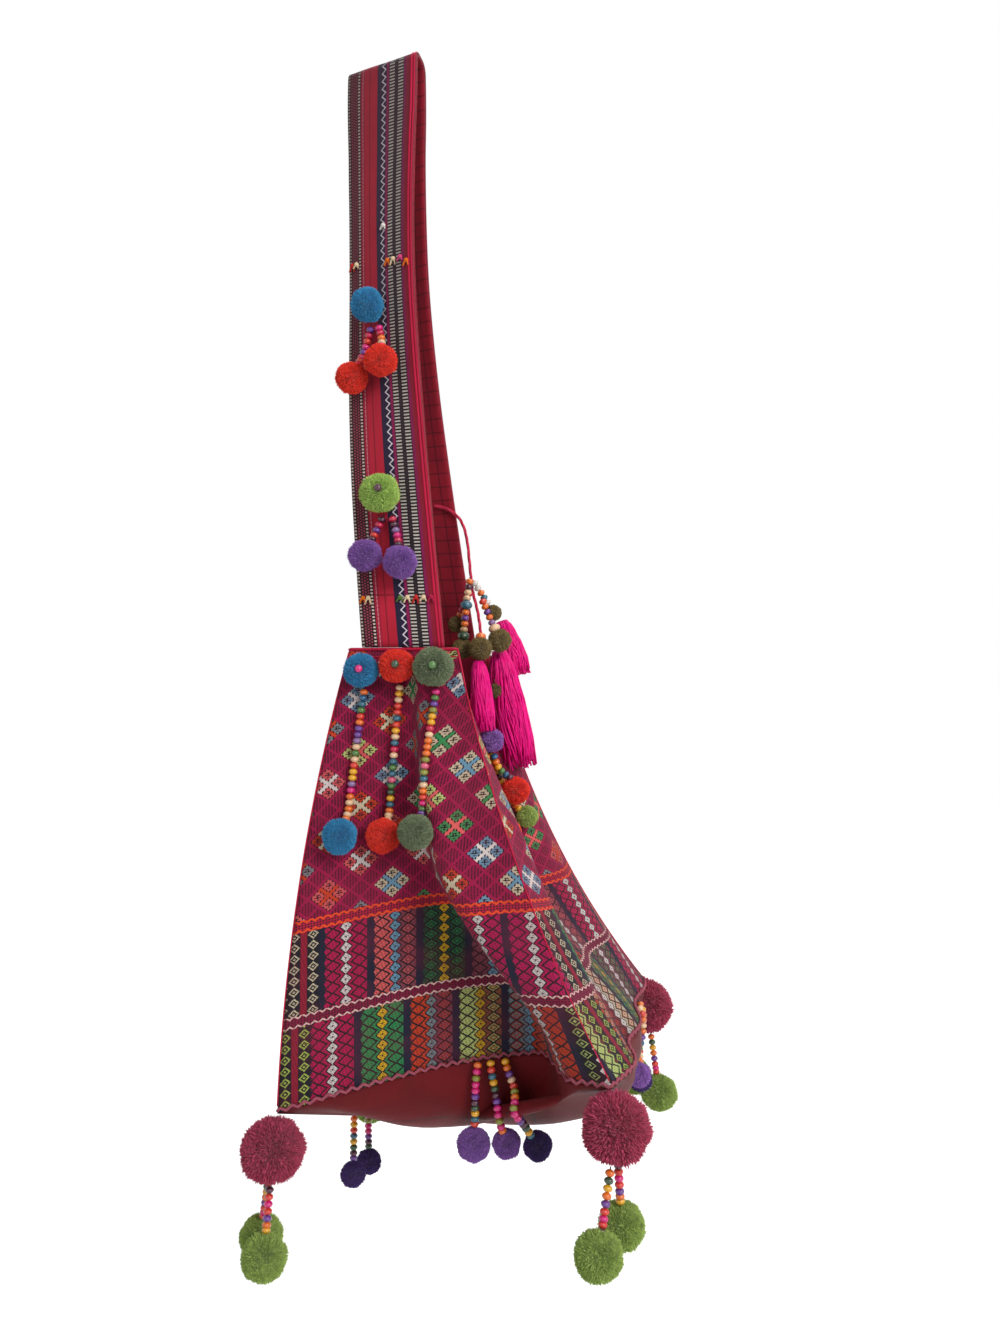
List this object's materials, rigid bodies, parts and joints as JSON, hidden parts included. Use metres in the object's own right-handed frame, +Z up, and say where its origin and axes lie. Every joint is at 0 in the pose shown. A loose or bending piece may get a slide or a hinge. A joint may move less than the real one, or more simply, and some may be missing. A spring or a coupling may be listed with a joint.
{
  "type": "pompom shoulder bag",
  "caption": "Hanging brocade shoulder bag with a striped strap, pompoms, bead strings, silk tassels and a red cloth bottom.",
  "frame": {"origin": "middle of the underside of the strap's fold, where it hangs on a peg", "axes": "+Z up; -X out of the near end panel; -Y out of the front panel"},
  "size_m": [0.3642, 0.359, 1.0738],
  "materials": {
    "brocade": "woven",
    "red_cotton": "woven",
    "strap_weave": "woven",
    "lining": "woven",
    "yarn": "fuzzy yarn",
    "silk": "silky thread",
    "wood": "painted gloss",
    "cord": "twisted"
  },
  "bodies": {
    "bag": {"brocade_body": "brocade", "base_cloth": "red_cotton", "strap_band": "strap_weave", "strap_lining": "lining", "near_upper_pompom": "yarn", "near_upper_left_pendant": "yarn", "near_upper_right_pendant": "yarn", "near_lower_pompom": "yarn", "near_lower_left_pendant": "yarn", "near_lower_right_pendant": "yarn", "far_upper_pompom": "yarn", "far_upper_left_pendant": "yarn", "far_upper_right_pendant": "yarn", "far_lower_pompom": "yarn", "far_lower_left_pendant": "yarn", "far_lower_right_pendant": "yarn", "near_end_blue_pompom": "yarn", "near_end_blue_pendant": "yarn", "near_end_red_pompom": "yarn", "near_end_red_pendant": "yarn", "near_end_grey_pompom": "yarn", "near_end_grey_pendant": "yarn", "far_end_blue_pompom": "yarn", "far_end_blue_pendant": "yarn", "far_end_red_pompom": "yarn", "far_end_red_pendant": "yarn", "far_end_grey_pompom": "yarn", "far_end_grey_pendant": "yarn", "near_hem_left_pendant": "yarn", "near_hem_middle_pendant": "yarn", "near_hem_right_pendant": "yarn", "front_hem_left_pendant": "yarn", "front_hem_right_pendant": "yarn", "far_hem_left_pendant": "yarn", "back_hem_left_pendant": "yarn", "back_hem_right_pendant": "yarn", "front_top_pompom": "yarn", "front_left_pendant": "yarn", "front_middle_pendant": "yarn", "front_right_pendant": "yarn", "tie_cord": "cord", "tie_middle_pompom": "yarn", "tie_middle_tassel": "silk", "tie_left_pendant": "yarn", "tie_right_pendant": "yarn", "tie_right_tassel": "silk", "tie_long_tassel": "silk"},
    "near_left_corner": {"near_left_corner_pompom": "yarn", "near_left_corner_left_pendant": "yarn", "near_left_corner_right_pendant": "yarn"},
    "near_right_corner": {"near_right_corner_pompom": "yarn", "near_right_corner_left_pendant": "yarn", "near_right_corner_right_pendant": "yarn"},
    "far_right_corner": {"far_right_corner_pompom": "yarn", "far_right_corner_left_pendant": "yarn", "far_right_corner_right_pendant": "yarn"},
    "far_left_corner": {"far_left_corner_pompom": "yarn", "far_left_corner_left_pendant": "yarn", "far_left_corner_right_pendant": "yarn"}
  },
  "joints": [
    {"name": "near_left_swing", "type": "hinge", "parent": "bag", "child": "near_left_corner", "pos_m": [-0.12447, 0.05647, -0.937], "axis": [0.7071, 0.7071, 0], "range_deg": [0, 35]},
    {"name": "near_right_swing", "type": "hinge", "parent": "bag", "child": "near_right_corner", "pos_m": [-0.12447, -0.23047, -0.889], "axis": [-0.7071, 0.7071, 0], "range_deg": [0, 35]},
    {"name": "far_right_swing", "type": "hinge", "parent": "bag", "child": "far_right_corner", "pos_m": [0.16047, -0.23047, -0.889], "axis": [-0.7071, -0.7071, 0], "range_deg": [0, 35]},
    {"name": "far_left_swing", "type": "hinge", "parent": "bag", "child": "far_left_corner", "pos_m": [0.16047, 0.05647, -0.937], "axis": [0.7071, -0.7071, 0], "range_deg": [0, 35]}
  ]
}
